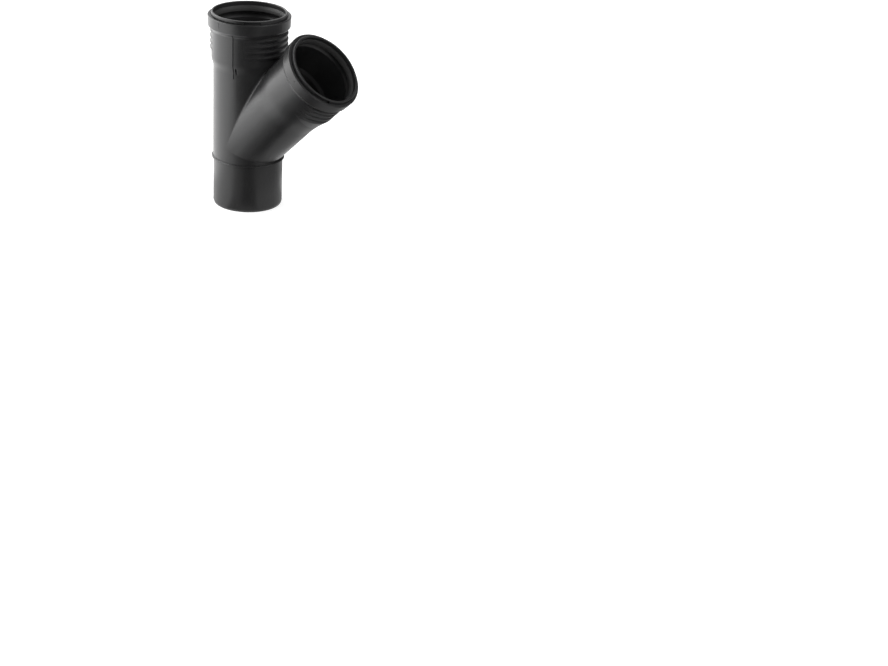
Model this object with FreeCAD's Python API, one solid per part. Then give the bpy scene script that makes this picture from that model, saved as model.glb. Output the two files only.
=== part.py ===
import FreeCAD, Part
import math
import os

from FreeCAD import Vector

# Lateral wye for push-fit drainage pipe, in millimetres, +Z up. A straight run has a plain
# spigot below and a socket above, and a branch of the same size leans from it towards +X.
# The origin is on the run's axis, in the plane of the shoulder under the stop ring, where
# the rim of the next socket ends when the spigot is pushed home.

# The pipe that the fitting joins
pipe_diameter = 75.0
pipe_wall = 2.3

# What the fitting's own pipes are thicker by, above the stop ring
body_swell = 0.5

# Layout of the two axes: how far the heel of the branch lies above the shoulder, and how far
# the sockets' rims lie beyond the crotch, measured along each axis
branch_angle = 45.0
heel_height = 2.2
run_rim_reach = 51.52
branch_rim_reach = 54.26

# Rounding of the line where the two pipes meet, fading out where they are tangent
crotch_rounding = 3.0
heel_rounding = 2.0
crease_start = 10.0

# Spigot and stop ring
spigot_length = 52.4
spigot_chamfer_depth = 0.7
spigot_chamfer_length = 2.4
stop_ring_projection = 2.0
stop_ring_thickness = 1.3

# Socket bore, measured down from the rim, and the taper outside its end, longer on the branch
socket_clearance = 0.35
socket_wall = 2.25
bore_end_depth = 51.0
stop_cone_length = 3.5
taper_lead = 1.0
taper_length = 7.5
taper_rounding = 14.0
branch_taper_length = 18.0
branch_taper_rounding = 80.0

# Collar at the socket's mouth
collar_clearance = 0.7
collar_wall = 2.2
collar_height = 3.5
collar_edge = 0.4

# Bead around the seal
seal_groove_depth = 3.65
bead_wall = 2.75
bead_draft = 0.4
bead_end_depth = 15.0
bead_cone_length = 3.5
bead_edge = 0.5
bead_foot = 0.8

# Seat of the seal inside the bead
nose_seat_depth = 4.4
nose_seat_step = 0.7
groove_top_depth = 5.8
groove_end_setback = 1.3

# Groove at the collar's foot, and the two relief windows beside it
foot_groove_width = 0.6
foot_groove_depth = 0.6
window_gap_width = 1.3
window_gap_depth = 1.3
window_undercut = 0.3
slot_depth = 1.1
slot_top = 0.9
window_from = -117.0
web_angle = -60.0
web_width = 1.6
slot_to = -33.0

# Grip ribs on the barrel, crescents that are full in the middle and fade out at both ends
rib_count = 4
rib_first_depth = 21.2
rib_pitch = 6.2
rib_height = 2.5
rib_offset = 5.0
rib_width = 4.4
rib_crest_width = 1.6

# Slope under the branch, from the last rib's crest to its end below the pipe's surface
slope_end_depth = 66.0
slope_sink = 1.0

# Guide line and pointer on the run, alignment marks on both beads
guide_angle = -75.2
guide_width = 0.5
guide_height = 0.3
guide_from_depth = 16.0
guide_to_depth = 64.0
pointer_angle = -70.6
pointer_width = 2.2
pointer_top_depth = 51.5
pointer_wide_depth = 54.0
pointer_tip_depth = 63.0
pointer_recess = 1.0
notch_angle = -96.0
notch_width = 0.5
notch_recess = 0.35
notch_from_depth = 5.0
notch_to_depth = 11.0
dimple_angle = -91.0
dimple_radius = 0.7
dimple_recess = 0.4
dimple_depth = 7.9

# Lip seal
seal_clearance = 0.1
lip_clearance = 0.15
lip_thickness = 1.1
lip_slot = 0.7
lip_slot_depth = 3.2
lip_setback = 0.6
nose_thickness = 1.0

# Worked out from the sizes above
pipe_radius = pipe_diameter / 2
body_radius = pipe_radius + body_swell
half_angle = math.radians(branch_angle) / 2
crossing_height = heel_height + body_radius * math.tan(half_angle)
run_arm = run_rim_reach + body_radius / math.tan(half_angle)
branch_arm = branch_rim_reach + body_radius / math.tan(half_angle)
waterway_radius = pipe_radius - pipe_wall
bore_radius = pipe_radius + socket_clearance
barrel_radius = bore_radius + socket_wall
collar_bore_radius = pipe_radius + collar_clearance
collar_radius = collar_bore_radius + collar_wall
groove_radius = bore_radius + seal_groove_depth
bead_radius = groove_radius + bead_wall
bead_low_radius = bead_radius - bead_draft
nose_seat_radius = collar_bore_radius + nose_seat_step
groove_end_depth = bead_end_depth - groove_end_setback
cone_slope = bead_cone_length / (bead_low_radius - barrel_radius)
bore_start_depth = groove_end_depth + seal_groove_depth * cone_slope
barrel_end_depth = bore_end_depth - taper_lead
taper_end_depth = barrel_end_depth + taper_length
rib_crest_radius = barrel_radius + rib_height
rib_root = socket_wall / 2
rib_root_width = rib_width + (rib_width - rib_crest_width) * rib_root / rib_height
run_top = crossing_height + run_arm
margin = 1.0
touching = 0.001


def outline(corners):
    """Closed face in the XZ plane, through corners given as (radius, height, rounding)."""
    edges = []
    previous_end = None
    first_start = None
    count = len(corners)
    for i, (radius, height, rounding) in enumerate(corners):
        here = Vector(radius, 0, height)
        before = Vector(corners[i - 1][0], 0, corners[i - 1][1])
        after = Vector(corners[(i + 1) % count][0], 0, corners[(i + 1) % count][1])
        back = (before - here).normalize()
        ahead = (after - here).normalize()
        half = back.getAngle(ahead) / 2
        start = here + back * (rounding / math.tan(half))
        end = here + ahead * (rounding / math.tan(half))
        if previous_end is None:
            first_start = start
        else:
            edges.append(Part.LineSegment(previous_end, start).toShape())
        if rounding > 0:
            inward = (back + ahead).normalize()
            middle = here + inward * (rounding / math.sin(half) - rounding)
            edges.append(Part.Arc(start, middle, end).toShape())
        previous_end = end
    edges.append(Part.LineSegment(previous_end, first_start).toShape())
    return Part.Face(Part.Wire(edges))


def turned(corners, start=0.0, sweep=360.0):
    """The outline turned about the Z axis, from the angle start through the angle sweep."""
    face = outline(corners)
    face.rotate(Vector(0, 0, 0), Vector(0, 0, 1), start)
    return face.revolve(Vector(0, 0, 0), Vector(0, 0, 1), sweep)


def at_run(shape):
    """Move a shape from the socket's own frame, rim at height 0, to the run."""
    moved = shape.copy()
    moved.translate(Vector(0, 0, run_top))
    return moved


def at_branch(shape):
    """Move a shape from the socket's own frame to the branch, which leans towards +X."""
    moved = shape.copy()
    moved.translate(Vector(0, 0, branch_arm))
    moved.rotate(Vector(0, 0, 0), Vector(0, 1, 0), branch_angle)
    moved.translate(Vector(0, 0, crossing_height))
    return moved


def run_pipe():
    """The run as a solid bar, with the chamfered spigot end below."""
    end_radius = pipe_radius - spigot_chamfer_depth
    return turned([
        (0, -spigot_length, 0),
        (end_radius, -spigot_length, 0),
        (pipe_radius, -spigot_length + spigot_chamfer_length, 0),
        (pipe_radius, 0, 0),
        (body_radius, 0, 0),
        (body_radius, run_top - bead_end_depth, 0),
        (0, run_top - bead_end_depth, 0),
    ])


def branch_pipe():
    """The branch as a solid bar, from the crossing of the axes."""
    return at_branch(turned([
        (0, -branch_arm, 0),
        (body_radius, -branch_arm, 0),
        (body_radius, -bead_end_depth, 0),
        (0, -bead_end_depth, 0),
    ]))


def crease(solid, run, branch, above):
    """The edges where the two bars meet, on the branch's upper or lower side."""
    found = []
    for edge in solid.Edges:
        middle = edge.valueAt((edge.FirstParameter + edge.LastParameter) / 2)
        point = Part.Vertex(middle)
        on_run = run.Shells[0].distToShape(point)[0] < touching
        on_branch = branch.Shells[0].distToShape(point)[0] < touching
        inside = middle.x > crease_start + touching
        if on_run and on_branch and inside and (middle.z > crossing_height) == above:
            found.append(edge)
    return found


def joined_pipes():
    """Both bars as one solid, with the line between them rounded."""
    run = run_pipe()
    branch = branch_pipe()
    whole = run.fuse(branch).removeSplitter().Solids[0]
    reach = 4 * (run_arm + branch_arm)
    front = Part.makeBox(reach, reach, reach, Vector(crease_start, -reach / 2, -reach / 2))
    plain_side = whole.cut(front).Solids[0]
    rounded = whole.common(front).Solids[0]
    rounded = rounded.makeFillet(crotch_rounding, crease(rounded, run, branch, True))
    rounded = rounded.makeFillet(heel_rounding, crease(rounded, run, branch, False))
    return rounded.fuse(plain_side)


def socket_outside(taper, rounding):
    """The socket as a solid: collar, ledge, bead, barrel and a taper of that length to the pipe."""
    taper_foot = barrel_end_depth + taper
    return turned([
        (0, 0, 0),
        (collar_radius - collar_edge, 0, 0),
        (collar_radius, -collar_edge, 0),
        (collar_radius, -collar_height, 0),
        (bead_radius - bead_edge, -collar_height, 0),
        (bead_radius, -collar_height - bead_edge, 0),
        (bead_low_radius, -bead_end_depth + bead_edge, 0),
        (bead_low_radius - bead_edge, -bead_end_depth - bead_edge / 2, 0),
        (barrel_radius + bead_foot, -bead_end_depth - bead_cone_length + bead_foot, 0),
        (barrel_radius, -bead_end_depth - bead_cone_length - bead_foot, 0),
        (barrel_radius, -barrel_end_depth, rounding),
        (body_radius, -taper_foot, rounding),
        (body_radius, -taper_foot - taper / 2, 0),
        (0, -taper_foot - taper / 2, 0),
    ])


def socket_inside():
    """The space inside a socket, from above the rim down to the waterway."""
    return turned([
        (0, margin, 0),
        (collar_bore_radius + collar_edge + margin, margin, 0),
        (collar_bore_radius, -collar_edge, 0),
        (collar_bore_radius, -nose_seat_depth, 0),
        (nose_seat_radius, -nose_seat_depth, 0),
        (nose_seat_radius, -groove_top_depth, 0),
        (groove_radius, -groove_top_depth, 0),
        (groove_radius, -groove_end_depth, 0),
        (bore_radius, -bore_start_depth, 0),
        (bore_radius, -bore_end_depth, 0),
        (waterway_radius, -bore_end_depth - stop_cone_length, 0),
        (0, -bore_end_depth - stop_cone_length, 0),
    ])


def set_off(corners, facing):
    """The outline turned about an axis that is set off from the socket's to the side named."""
    disc = turned([(radius - rib_offset, height, 0) for radius, height in corners])
    side = math.radians(facing)
    disc.translate(Vector(rib_offset * math.cos(side), rib_offset * math.sin(side), 0))
    return disc


def rib(depth, facing):
    """One grip rib: a disc set off to the side that it faces, so that it fades at its ends."""
    return set_off([
        (rib_offset, -depth - rib_root_width / 2),
        (barrel_radius - rib_root, -depth - rib_root_width / 2),
        (rib_crest_radius, -depth - rib_crest_width / 2),
        (rib_crest_radius, -depth + rib_crest_width / 2),
        (barrel_radius - rib_root, -depth + rib_root_width / 2),
        (rib_offset, -depth + rib_root_width / 2),
    ], facing)


def ribs(facing_angles):
    """The grip ribs of one socket, on each of the sides named."""
    return [
        rib(rib_first_depth + i * rib_pitch, facing)
        for facing in facing_angles
        for i in range(rib_count)
    ]


def branch_slope():
    """Long slope under the branch, from the last rib's crest down to the pipe."""
    crest_end_depth = rib_first_depth + (rib_count - 1) * rib_pitch + rib_crest_width / 2
    return set_off([
        (rib_offset, -slope_end_depth),
        (body_radius - slope_sink, -slope_end_depth),
        (rib_crest_radius, -crest_end_depth),
        (rib_offset, -crest_end_depth),
    ], 0.0)


def foot_cuts():
    """What is cut at the collar's foot: the thin groove, and the two relief windows."""
    ledge = -collar_height
    groove = turned([
        (collar_radius, ledge + margin / 2, 0),
        (collar_radius, ledge - foot_groove_depth, 0),
        (collar_radius + foot_groove_width, ledge - foot_groove_depth, 0),
        (collar_radius + foot_groove_width, ledge + margin / 2, 0),
    ])
    gap = [
        (collar_radius - window_undercut, ledge + window_undercut, 0),
        (collar_radius - window_undercut, ledge - window_gap_depth, 0),
        (collar_radius + window_gap_width, ledge - window_gap_depth, 0),
        (collar_radius + window_gap_width, ledge + window_undercut, 0),
    ]
    slot = [
        (collar_radius - slot_depth, -slot_top, 0),
        (collar_radius - slot_depth, ledge, 0),
        (collar_radius - window_undercut, ledge - window_gap_depth, 0),
        (collar_radius + window_gap_width, ledge - window_gap_depth, 0),
        (collar_radius + window_gap_width, -slot_top, 0),
    ]
    window_to = web_angle - web_width / 2
    slot_from = web_angle + web_width / 2
    window = turned(gap, window_from, window_to - window_from)
    deep_window = turned(slot, slot_from, slot_to - slot_from)
    return [groove, window, deep_window]


def guide_line():
    """Thin raised line down the barrel and the taper, standing on the surface all the way."""
    low = socket_wall / 2
    face = outline([
        (barrel_radius - low, -guide_from_depth, 0),
        (barrel_radius + guide_height, -guide_from_depth, 0),
        (barrel_radius + guide_height, -barrel_end_depth, 0),
        (body_radius + guide_height, -taper_end_depth, 0),
        (body_radius + guide_height, -guide_to_depth, 0),
        (body_radius - low, -guide_to_depth, 0),
        (body_radius - low, -taper_end_depth, 0),
        (barrel_radius - low, -barrel_end_depth, 0),
    ])
    face.translate(Vector(0, -guide_width / 2, 0))
    line = face.extrude(Vector(0, guide_width, 0))
    line.rotate(Vector(0, 0, 0), Vector(0, 0, 1), guide_angle)
    return line


def pointer():
    """Recess in the shape of a pointer that narrows towards the waterway."""
    floor = body_radius - pointer_recess
    tip = Vector(floor, 0, -pointer_tip_depth)
    corners = [
        Vector(floor, -pointer_width / 2, -pointer_wide_depth),
        Vector(floor, 0, -pointer_top_depth),
        Vector(floor, pointer_width / 2, -pointer_wide_depth),
        tip,
    ]
    face = Part.Face(Part.makePolygon(corners + [corners[0]]))
    wedge = face.extrude(Vector(bead_radius, 0, 0))
    wedge.rotate(Vector(0, 0, 0), Vector(0, 0, 1), pointer_angle)
    return wedge


def bead_notch():
    """Short upright line engraved in the bead."""
    notch = Part.makeBox(
        margin + notch_recess, notch_width, notch_to_depth - notch_from_depth,
        Vector(bead_radius - notch_recess - bead_draft / 2, -notch_width / 2, -notch_to_depth))
    notch.rotate(Vector(0, 0, 0), Vector(0, 0, 1), notch_angle)
    return notch


def bead_dimple():
    """Small round dimple in the bead."""
    dimple = Part.makeCylinder(
        dimple_radius, margin + dimple_recess,
        Vector(bead_radius - dimple_recess - bead_draft / 2, 0, -dimple_depth), Vector(1, 0, 0))
    dimple.rotate(Vector(0, 0, 0), Vector(0, 0, 1), dimple_angle)
    return dimple


def stop_ring():
    """Thin ring above the spigot, whose underside is the shoulder."""
    inner = pipe_radius - pipe_wall / 2
    outer = pipe_radius + stop_ring_projection
    return turned([
        (inner, 0, 0),
        (outer, 0, 0),
        (outer, stop_ring_thickness / 2, 0),
        (outer - stop_ring_thickness / 2, stop_ring_thickness, 0),
        (inner, stop_ring_thickness, 0),
    ])


def waterways():
    """The bores through the run and the branch, below the sockets."""
    run_bore = Part.makeCylinder(
        waterway_radius, spigot_length + run_top - bore_end_depth - stop_cone_length + margin,
        Vector(0, 0, -spigot_length - margin))
    branch_bore = at_branch(Part.makeCylinder(
        waterway_radius, branch_arm - bore_end_depth - stop_cone_length,
        Vector(0, 0, -branch_arm)))
    return [run_bore, branch_bore]


def wye_body():
    """The one-piece moulded body."""
    body = joined_pipes()
    added = [
        at_run(socket_outside(taper_length, taper_rounding)),
        at_branch(socket_outside(branch_taper_length, branch_taper_rounding)),
        stop_ring(),
    ]
    added += [at_run(one) for one in ribs((0.0, 180.0))]
    added += [at_branch(one) for one in ribs((0.0,))]
    added.append(at_branch(branch_slope()))
    added.append(at_run(guide_line()))
    body = body.fuse(added)
    removed = waterways()
    removed += [at_run(socket_inside()), at_branch(socket_inside())]
    removed += [at_run(cut) for cut in foot_cuts()]
    removed += [at_branch(cut) for cut in foot_cuts()]
    removed += [at_run(pointer()), at_run(bead_notch()), at_branch(bead_dimple())]
    body = body.cut(removed)
    return body.removeSplitter().Solids[0]


def lip_seal():
    """Lip seal in the socket's own frame, its lip pressed back as a pipe leaves it."""
    lip_radius = pipe_radius + lip_clearance
    nose_outer = nose_seat_radius - seal_clearance
    root_outer = groove_radius - seal_clearance
    slot_inner = lip_radius + lip_thickness
    top = -nose_seat_depth - seal_clearance
    shoulder = -groove_top_depth - seal_clearance
    foot = -groove_end_depth + seal_clearance
    slot_top = shoulder - lip_slot_depth
    return turned([
        (nose_outer - nose_thickness, top, 0),
        (nose_outer, top, 0),
        (nose_outer, shoulder, 0),
        (root_outer, shoulder, 0),
        (root_outer, foot, 0),
        (slot_inner + lip_slot, foot, 0),
        (slot_inner + lip_slot, slot_top, 0),
        (slot_inner, slot_top, 0),
        (slot_inner, foot + lip_setback, 0),
        (lip_radius, foot + lip_setback, 0),
        (lip_radius, slot_top, 0),
    ])


def main():
    parts = {
        "wye_body": wye_body(),
        "run_socket_seal": at_run(lip_seal()),
        "branch_socket_seal": at_branch(lip_seal()),
    }
    os.makedirs("parts", exist_ok=True)
    for name, shape in parts.items():
        shape.exportStep(os.path.join("parts", name + ".step"))


main()
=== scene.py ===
import math

import bmesh
import bpy
from mathutils import Matrix, Vector


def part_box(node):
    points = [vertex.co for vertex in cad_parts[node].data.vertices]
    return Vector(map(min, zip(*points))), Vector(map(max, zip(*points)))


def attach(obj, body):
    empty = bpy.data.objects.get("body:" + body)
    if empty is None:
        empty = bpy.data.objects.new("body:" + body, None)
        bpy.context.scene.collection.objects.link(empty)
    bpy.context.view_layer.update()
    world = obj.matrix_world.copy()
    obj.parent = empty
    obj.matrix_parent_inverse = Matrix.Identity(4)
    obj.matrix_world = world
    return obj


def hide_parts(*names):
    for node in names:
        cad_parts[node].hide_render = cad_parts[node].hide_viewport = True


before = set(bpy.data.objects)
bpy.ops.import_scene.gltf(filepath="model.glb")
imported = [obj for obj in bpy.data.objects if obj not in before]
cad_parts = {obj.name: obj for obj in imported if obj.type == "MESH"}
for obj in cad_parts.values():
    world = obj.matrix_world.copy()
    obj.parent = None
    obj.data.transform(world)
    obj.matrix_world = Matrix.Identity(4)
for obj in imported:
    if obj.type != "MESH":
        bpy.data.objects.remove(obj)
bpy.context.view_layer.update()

white = (1.0, 1.0, 1.0, 1.0)
black = (0.0, 0.0, 0.0, 1.0)

# The frame's own sizes, in metres and degrees: where the two sockets' rims lie
body_low, body_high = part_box("wye_body")
floor_height = body_low.z
run_top = body_high.z
crossing_height = 0.01794
branch_arm = 0.146
branch_angle = 45.0
run_rim = Matrix.Translation((0.0, 0.0, run_top))
branch_rim = (
    Matrix.Translation((0.0, 0.0, crossing_height))
    @ Matrix.Rotation(math.radians(branch_angle), 4, "Y")
    @ Matrix.Translation((0.0, 0.0, branch_arm)))


def direction(azimuth, elevation):
    """Unit vector towards an azimuth and an elevation, both in degrees."""
    azimuth = math.radians(azimuth)
    elevation = math.radians(elevation)
    return Vector((
        math.cos(elevation) * math.cos(azimuth),
        math.cos(elevation) * math.sin(azimuth),
        math.sin(elevation)))


# Camera, as the photograph was taken: angles in degrees as seen from the target, sizes in metres
image_width = 888
image_height = 666
sensor_width = 36.0
focal_pixels = 1834.5
camera_azimuth = -50.2
camera_elevation = 18.96
camera_roll = 0.945
camera_distance = 2.0062
camera_nearest = 0.05
camera_farthest = 50.0
target = Vector((0.0, 0.0, 0.0536))
target_pixel = (248.6, 108.3)


def make_camera():
    """The camera at the photograph's place, with the target at its pixel and no shift."""
    back = direction(camera_azimuth, camera_elevation)
    sideways = math.radians(camera_azimuth)
    right = Vector((-math.sin(sideways), math.cos(sideways), 0.0))
    up = back.cross(right)
    facing = Matrix((right, up, back)).transposed()
    facing = facing @ Matrix.Rotation(math.radians(camera_roll), 3, "Z")
    seen_at = Vector((
        (target_pixel[0] - image_width / 2) / focal_pixels,
        (image_height / 2 - target_pixel[1]) / focal_pixels,
        -1.0))
    turn = seen_at.rotation_difference(Vector((0.0, 0.0, -1.0))).to_matrix()
    data = bpy.data.cameras.new("camera")
    data.sensor_width = sensor_width
    data.lens = focal_pixels * sensor_width / image_width
    data.clip_start = camera_nearest
    data.clip_end = camera_farthest
    camera = bpy.data.objects.new("camera", data)
    place = Matrix.Translation(target + back * camera_distance)
    camera.matrix_world = place @ (facing @ turn).to_4x4()
    bpy.context.scene.collection.objects.link(camera)
    bpy.context.scene.camera = camera


def area_light(name, width, height, radiance):
    """A rectangular light, which the camera doesn't see."""
    data = bpy.data.lights.new(name, "AREA")
    data.shape = "RECTANGLE"
    data.size = width
    data.size_y = height
    data.energy = radiance * math.pi * width * height
    light = bpy.data.objects.new(name, data)
    light.visible_camera = False
    bpy.context.scene.collection.objects.link(light)
    return light


softbox_distance = 2.0
low_softbox_lift = 0.0005


def softbox(name, azimuth, elevation, width, height, radiance):
    """A softbox seen from the target in that direction, facing the target."""
    towards = direction(azimuth, elevation)
    turn = towards.to_track_quat("Z", "Y").to_matrix().to_4x4()
    light = area_light(name, width, height, radiance)
    light.matrix_world = Matrix.Translation(target + towards * softbox_distance) @ turn
    return light


def low_softbox(name, near, far, width, radiance):
    """A softbox that lies on the floor on the side away from the branch, facing up."""
    light = area_light(name, far - near, width, radiance)
    light.location = (-(near + far) / 2, 0.0, floor_height + low_softbox_lift)
    light.rotation_euler = (math.pi, 0.0, 0.0)


def plug(tree, socket, given):
    """Give a socket the value of another socket, or a plain number or colour."""
    if isinstance(given, bpy.types.NodeSocket):
        tree.links.new(given, socket)
    else:
        socket.default_value = given


def math_of(tree, operation, *inputs):
    """The value of one Math node, from sockets and plain numbers."""
    node = tree.nodes.new("ShaderNodeMath")
    node.operation = operation
    for socket, given in zip(node.inputs, inputs):
        plug(tree, socket, given)
    return node.outputs[0]


def ramp(tree, value, low, high, start=0.0, end=1.0):
    """A value that goes from low to high while another goes from start to end."""
    node = tree.nodes.new("ShaderNodeMapRange")
    node.inputs["From Min"].default_value = start
    node.inputs["From Max"].default_value = end
    node.inputs["To Min"].default_value = low
    node.inputs["To Max"].default_value = high
    tree.links.new(value, node.inputs["Value"])
    return node.outputs["Result"]


def mixed(tree, kind, factor, first, second):
    """Two numbers or two colours mixed by a factor."""
    node = tree.nodes.new("ShaderNodeMix")
    node.data_type = kind
    plug(tree, node.inputs["Factor"], factor)
    plug(tree, node.inputs["A"], first)
    plug(tree, node.inputs["B"], second)
    return node.outputs["Result"]


def within(tree, value, low, high):
    """A value that is 1 where another lies between two bounds, and 0 elsewhere."""
    return math_of(tree, "COMPARE", value, (low + high) / 2, (high - low) / 2)


def object_place(tree):
    """The place on the surface, in the object's own coordinates."""
    return tree.nodes.new("ShaderNodeTexCoord").outputs["Object"]


def seen_directly(tree):
    """A value that is 1 for camera, glossy and transmission rays, and 0 for the rest."""
    path = tree.nodes.new("ShaderNodeLightPath")
    seen = math_of(tree, "MAXIMUM", path.outputs["Is Camera Ray"], path.outputs["Is Glossy Ray"])
    return math_of(tree, "MAXIMUM", seen, path.outputs["Is Transmission Ray"])


def material_with_nodes(name):
    """A new node material, its tree and its shader."""
    material = bpy.data.materials.new(name)
    material.use_nodes = True
    tree = material.node_tree
    shader = tree.nodes["Principled BSDF"]
    return material, tree, shader


def matt_glowing(name, colour, glow):
    """A matt material for what is staged, with a white glow whose strength may be a number."""
    material, tree, shader = material_with_nodes(name)
    shader.inputs["Base Color"].default_value = colour
    shader.inputs["Roughness"].default_value = 1.0
    shader.inputs["Specular IOR Level"].default_value = 0.0
    shader.inputs["Emission Color"].default_value = white
    if callable(glow):
        glow = glow(tree)
    plug(tree, shader.inputs["Emission Strength"], glow)
    return material


# Screens that only reflections see, in metres
screen_radius = 3.5
screen_steps = 8
screen_lift = 0.0003


def screen(name, level, rows):
    """A screen through rows of points that only reflections see, as bright as its level."""
    count = len(rows[0])
    faces = []
    for i in range(len(rows) - 1):
        for j in range(count - 1):
            low = i * count + j
            faces.append((low, low + 1, low + count + 1, low + count))
    mesh = bpy.data.meshes.new(name)
    mesh.from_pydata([point for row in rows for point in row], [], faces)
    mesh.materials.append(matt_glowing(name, black, level))
    panel = bpy.data.objects.new(name, mesh)
    panel.visible_camera = False
    panel.visible_shadow = False
    panel.visible_diffuse = False
    panel.visible_transmission = False
    bpy.context.scene.collection.objects.link(panel)


def angles_between(ends):
    """Evenly spaced angles in radians, from the first end in degrees to the last."""
    low, high = ends
    return [math.radians(low + (high - low) * step / screen_steps) for step in range(screen_steps + 1)]


def standing_screen(name, level, azimuths, elevations):
    """A screen that stands round the object, between two azimuths and two elevations."""
    rows = []
    for elevation in angles_between(elevations):
        rows.append([
            (screen_radius * math.cos(elevation) * math.cos(azimuth),
             screen_radius * math.cos(elevation) * math.sin(azimuth),
             target.z + screen_radius * math.sin(elevation))
            for azimuth in angles_between(azimuths)])
    screen(name, level, rows)


def floor_screen(name, level, azimuths, radii):
    """A screen that lies on the floor, between two azimuths and two radii."""
    rows = []
    for radius in radii:
        rows.append([
            (radius * math.cos(azimuth), radius * math.sin(azimuth), floor_height + screen_lift)
            for azimuth in angles_between(azimuths)])
    screen(name, level, rows)


# How bright the world is where it lights the object and isn't seen
world_light = 0.67


def make_world():
    """White where it is seen, and a low even light elsewhere."""
    world = bpy.data.worlds.new("studio")
    world.use_nodes = True
    tree = world.node_tree
    background = tree.nodes["Background"]
    background.inputs["Color"].default_value = white
    strength = ramp(tree, seen_directly(tree), world_light, 1.0)
    tree.links.new(strength, background.inputs["Strength"])
    bpy.context.scene.world = world


# Floor: its sizes in metres, its colour, and its glow where it is seen
floor_radius = 8.0
floor_segments = 96
floor_gap = 0.00005
floor_colour = 0.55
floor_glow = 0.65


def make_floor():
    """A round white floor at the foot of the spigot, which keeps the object's shadow."""
    mesh = bpy.data.meshes.new("floor")
    shape = bmesh.new()
    bmesh.ops.create_circle(shape, cap_ends=True, segments=floor_segments, radius=floor_radius)
    shape.to_mesh(mesh)
    shape.free()
    mesh.materials.append(matt_glowing(
        "floor", (floor_colour, floor_colour, floor_colour, 1.0),
        lambda tree: math_of(tree, "MULTIPLY", seen_directly(tree), floor_glow)))
    floor = bpy.data.objects.new("floor", mesh)
    floor.location.z = floor_height - floor_gap
    bpy.context.scene.collection.objects.link(floor)


# Section of a seal with its lip free, as (radius, depth under the rim, rounding) in millimetres
seal_section = [
    (37.8, 4.5, 0.25),
    (38.8, 4.5, 0.25),
    (38.8, 5.9, 0.15),
    (41.4, 5.9, 0.3),
    (41.4, 13.6, 0.2),
    (40.6, 13.6, 0.2),
    (39.5, 6.9, 0.3),
    (38.5, 6.9, 0.3),
    (37.4, 10.5, 0.35),
    (36.4, 10.2, 0.3),
    (36.8, 7.5, 2.0),
]
seal_steps = 128
corner_steps = 4
millimetres_per_metre = 1000


def rounded_section(corners):
    """The section's outline as (radius, height) in metres, with its corners rounded."""
    sharp = [Vector((radius, -depth)) for radius, depth, rounding in corners]
    points = []
    for i, (radius, depth, rounding) in enumerate(corners):
        here = sharp[i]
        back = (sharp[i - 1] - here).normalized()
        forth = (sharp[(i + 1) % len(corners)] - here).normalized()
        half = back.angle(forth) / 2
        reach = rounding / math.tan(half)
        middle = here + (back + forth).normalized() * (rounding / math.sin(half))
        start = here + back * reach - middle
        turn = start.angle_signed(here + forth * reach - middle)
        for step in range(corner_steps + 1):
            angle = -turn * step / corner_steps
            swung = Vector((
                start.x * math.cos(angle) - start.y * math.sin(angle),
                start.x * math.sin(angle) + start.y * math.cos(angle)))
            points.append((middle + swung) / millimetres_per_metre)
    return points


def free_seal(name, node, place, material):
    """A rubber seal whose lip reaches into the mouth, in place of the pressed one."""
    section = rounded_section(seal_section)
    count = len(section)
    vertices = []
    faces = []
    for step in range(seal_steps):
        angle = 2 * math.pi * step / seal_steps
        for radius, height in section:
            vertices.append((radius * math.cos(angle), radius * math.sin(angle), height))
        here = step * count
        ahead = (step + 1) % seal_steps * count
        for i in range(count):
            j = (i + 1) % count
            faces.append((here + i, here + j, ahead + j, ahead + i))
    mesh = bpy.data.meshes.new(name)
    mesh.from_pydata(vertices, [], faces)
    mesh.shade_smooth()
    mesh.materials.append(material)
    seal = bpy.data.objects.new(name, mesh)
    seal.matrix_world = place
    bpy.context.scene.collection.objects.link(seal)
    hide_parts(node)
    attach(seal, "root")


# Finish of both materials: grain depth and how far the edges look rounded off are in metres
grain_depth = 0.00001
grain_detail = 3.0
broad_share = 1 / 40
broad_detail = 4.0
edge_softness = 0.0005
edge_samples = 6


def noise(tree, scale, detail):
    """Noise over the surface, in the object's own coordinates."""
    node = tree.nodes.new("ShaderNodeTexNoise")
    node.inputs["Scale"].default_value = scale
    node.inputs["Detail"].default_value = detail
    tree.links.new(object_place(tree), node.inputs["Vector"])
    return node.outputs["Fac"]


def grained(tree, shader, scale):
    """Give a shader a fine moulded grain, and return the broad variation that goes with it."""
    soft = tree.nodes.new("ShaderNodeBevel")
    soft.samples = edge_samples
    soft.inputs["Radius"].default_value = edge_softness
    bump = tree.nodes.new("ShaderNodeBump")
    bump.inputs["Strength"].default_value = 1.0
    bump.inputs["Distance"].default_value = grain_depth
    tree.links.new(noise(tree, scale, grain_detail), bump.inputs["Height"])
    tree.links.new(soft.outputs["Normal"], bump.inputs["Normal"])
    tree.links.new(bump.outputs["Normal"], shader.inputs["Normal"])
    return noise(tree, scale * broad_share, broad_detail)


# The run's guide line, which gets painted shade: its azimuth in degrees and its reach and width in
# metres
guide_angle = -75.2
guide_high = run_top - 0.016
guide_low = run_top - 0.064
guide_inside = 0.0379
guide_outside = 0.05
guide_half_width = 0.00045
guide_fade = 0.00015


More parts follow.
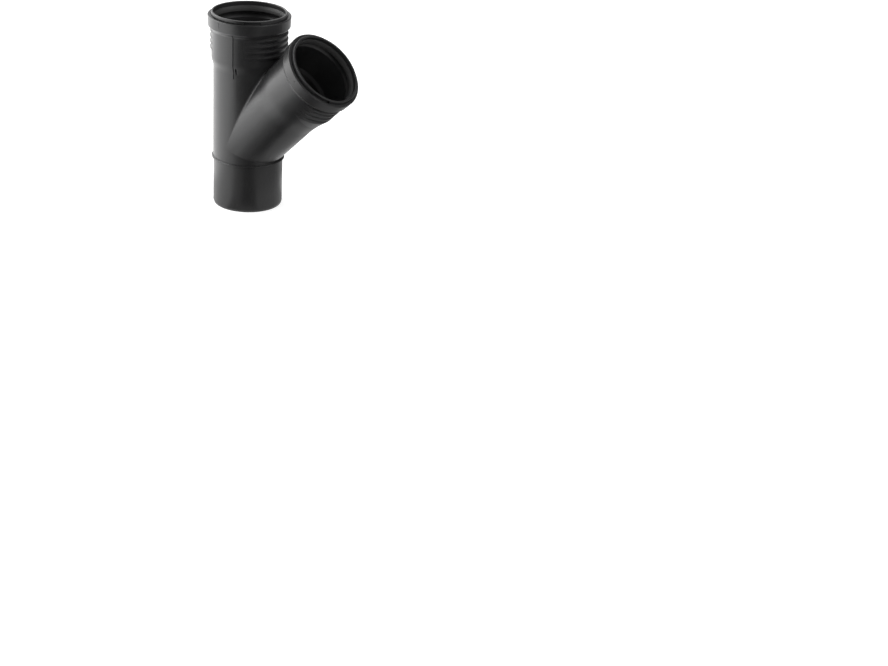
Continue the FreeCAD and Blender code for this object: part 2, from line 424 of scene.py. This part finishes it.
def guide_mask(tree):
    """A value that is 1 on the run's guide line and 0 elsewhere."""
    turned = tree.nodes.new("ShaderNodeVectorRotate")
    turned.rotation_type = "Z_AXIS"
    turned.inputs["Angle"].default_value = -math.radians(guide_angle)
    tree.links.new(object_place(tree), turned.inputs["Vector"])
    parts = tree.nodes.new("ShaderNodeSeparateXYZ")
    tree.links.new(turned.outputs["Vector"], parts.inputs["Vector"])
    aside = math_of(tree, "ABSOLUTE", parts.outputs["Y"])
    across = ramp(tree, aside, 1.0, 0.0, guide_half_width, guide_half_width + guide_fade)
    outside = within(tree, parts.outputs["X"], guide_inside, guide_outside)
    along = within(tree, parts.outputs["Z"], guide_low, guide_high)
    return math_of(tree, "MULTIPLY", math_of(tree, "MULTIPLY", outside, along), across)


# The deep window at each collar's foot, whose floor gets painted shade: azimuths in degrees, its
# floor's radius and heights in metres, and how strong the painted shade on its floor is, from 0 to 1
window_from = -59.2
window_to = -33.0
window_floor = 0.03945
window_floor_reach = 0.0004
window_top = 0.0008
window_bottom = 0.0050
window_shade = 0.4


def window_mask(tree, rim):
    """A value that is 1 on the floor of the deep window under that rim, and 0 elsewhere."""
    local = tree.nodes.new("ShaderNodeMapping")
    local.vector_type = "TEXTURE"
    local.inputs["Location"].default_value = rim.to_translation()
    local.inputs["Rotation"].default_value = rim.to_euler()
    tree.links.new(object_place(tree), local.inputs["Vector"])
    parts = tree.nodes.new("ShaderNodeSeparateXYZ")
    tree.links.new(local.outputs["Vector"], parts.inputs["Vector"])
    flat = tree.nodes.new("ShaderNodeVectorMath")
    flat.operation = "MULTIPLY"
    flat.inputs[1].default_value = (1.0, 1.0, 0.0)
    tree.links.new(local.outputs["Vector"], flat.inputs[0])
    radius = tree.nodes.new("ShaderNodeVectorMath")
    radius.operation = "LENGTH"
    tree.links.new(flat.outputs["Vector"], radius.inputs[0])
    angle = math_of(tree, "ARCTAN2", parts.outputs["Y"], parts.outputs["X"])
    turned = within(tree, angle, math.radians(window_from), math.radians(window_to))
    sunk = within(
        tree, radius.outputs["Value"],
        window_floor - window_floor_reach, window_floor + window_floor_reach)
    deep = within(tree, parts.outputs["Z"], -window_bottom, -window_top)
    return math_of(tree, "MULTIPLY", math_of(tree, "MULTIPLY", turned, sunk), deep)


# Black plastic, with painted shade on its guide line and window floors
plastic_grain_scale = 2500.0
plastic_dark = (0.0145, 0.0145, 0.015, 1.0)
plastic_light = (0.021, 0.021, 0.0215, 1.0)
plastic_smoothest = 0.30
plastic_roughest = 0.42
painted_shade_colour = (0.004, 0.004, 0.004, 1.0)
painted_shade_roughness = 0.95


def moulded_plastic():
    """Black polypropylene with a fine matt grain, and painted shade, near-black and rough, on the
    guide line and, weaker, on the window floors.
    """
    material, tree, shader = material_with_nodes("moulded_plastic")
    broad = grained(tree, shader, plastic_grain_scale)
    tone = mixed(tree, "RGBA", broad, plastic_dark, plastic_light)
    rough = ramp(tree, broad, plastic_smoothest, plastic_roughest)
    # Painted shade: the guide line gets all of it and the window floors part of it, as near-black
    # colour and high roughness
    windows = math_of(tree, "MAXIMUM", window_mask(tree, run_rim), window_mask(tree, branch_rim))
    shaded = math_of(tree, "MULTIPLY", windows, window_shade)
    painted_shade_mask = math_of(tree, "MAXIMUM", guide_mask(tree), shaded)
    tree.links.new(mixed(tree, "RGBA", painted_shade_mask, tone, painted_shade_colour), shader.inputs["Base Color"])
    tree.links.new(mixed(tree, "FLOAT", painted_shade_mask, rough, painted_shade_roughness), shader.inputs["Roughness"])
    return material


# Black rubber
rubber_grain_scale = 4000.0
rubber_dark = (0.026, 0.026, 0.026, 1.0)
rubber_light = (0.036, 0.036, 0.036, 1.0)
rubber_smoothest = 0.50
rubber_roughest = 0.60


def seal_rubber():
    """Black rubber, duller and a little lighter than the plastic."""
    material, tree, shader = material_with_nodes("seal_rubber")
    broad = grained(tree, shader, rubber_grain_scale)
    tone = mixed(tree, "RGBA", broad, rubber_dark, rubber_light)
    rough = ramp(tree, broad, rubber_smoothest, rubber_roughest)
    tree.links.new(tone, shader.inputs["Base Color"])
    tree.links.new(rough, shader.inputs["Roughness"])
    return material


make_camera()
make_world()
make_floor()

# Lights: broad ones from the left and the back right, and one into the mouths for their insides
softbox("softbox_left", azimuth=-165.0, elevation=27.0, width=4.0, height=2.2, radiance=2.9)
softbox("softbox_right", azimuth=15.0, elevation=42.0, width=1.0, height=2.0, radiance=0.9)
mouth_fill = softbox(
    "softbox_mouths", azimuth=5.0, elevation=50.0, width=1.2, height=1.2, radiance=3.0)
mouth_fill.visible_glossy = False
low_softbox("softbox_low", near=0.1, far=2.1, width=3.0, radiance=1.0)

# Screens: what the glossy surfaces see in place of the white world and floor
standing_screen("flag_front", 0.0, azimuths=(-120.0, -30.0), elevations=(-1.0, 60.0))
standing_screen("flag_corner", 0.6, azimuths=(-30.0, 0.0), elevations=(-1.0, 60.0))
standing_screen("flag_right", 0.1, azimuths=(30.0, 118.0), elevations=(-1.0, 60.0))
standing_screen("flag_top", 0.1, azimuths=(-270.0, 90.0), elevations=(60.0, 90.0))
floor_screen("floor_flag_middle", 0.4, azimuths=(-92.0, -66.0), radii=(0.04, 0.32))
floor_screen("floor_flag_left", 0.0, azimuths=(-92.0, -66.0), radii=(0.32, screen_radius))
floor_screen("floor_flag_foot", 0.4, azimuths=(-66.0, -30.0), radii=(0.04, 0.056))
floor_screen("floor_flag_front", 0.0, azimuths=(-66.0, -30.0), radii=(0.056, screen_radius))
floor_screen("floor_flag_heel", 0.65, azimuths=(-30.0, 60.0), radii=(0.04, 0.11))
floor_screen("floor_flag_corner", 0.35, azimuths=(-30.0, 60.0), radii=(0.11, screen_radius))
floor_screen("floor_flag_right", 0.8, azimuths=(60.0, 120.0), radii=(0.1, screen_radius))

plastic = moulded_plastic()
rubber = seal_rubber()
for name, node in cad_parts.items():
    node.data.materials.clear()
    node.data.materials.append(plastic if name == "wye_body" else rubber)

free_seal("run_lip_seal", "run_socket_seal", run_rim, rubber)
free_seal("branch_lip_seal", "branch_socket_seal", branch_rim, rubber)

bpy.context.scene.view_settings.view_transform = "Standard"
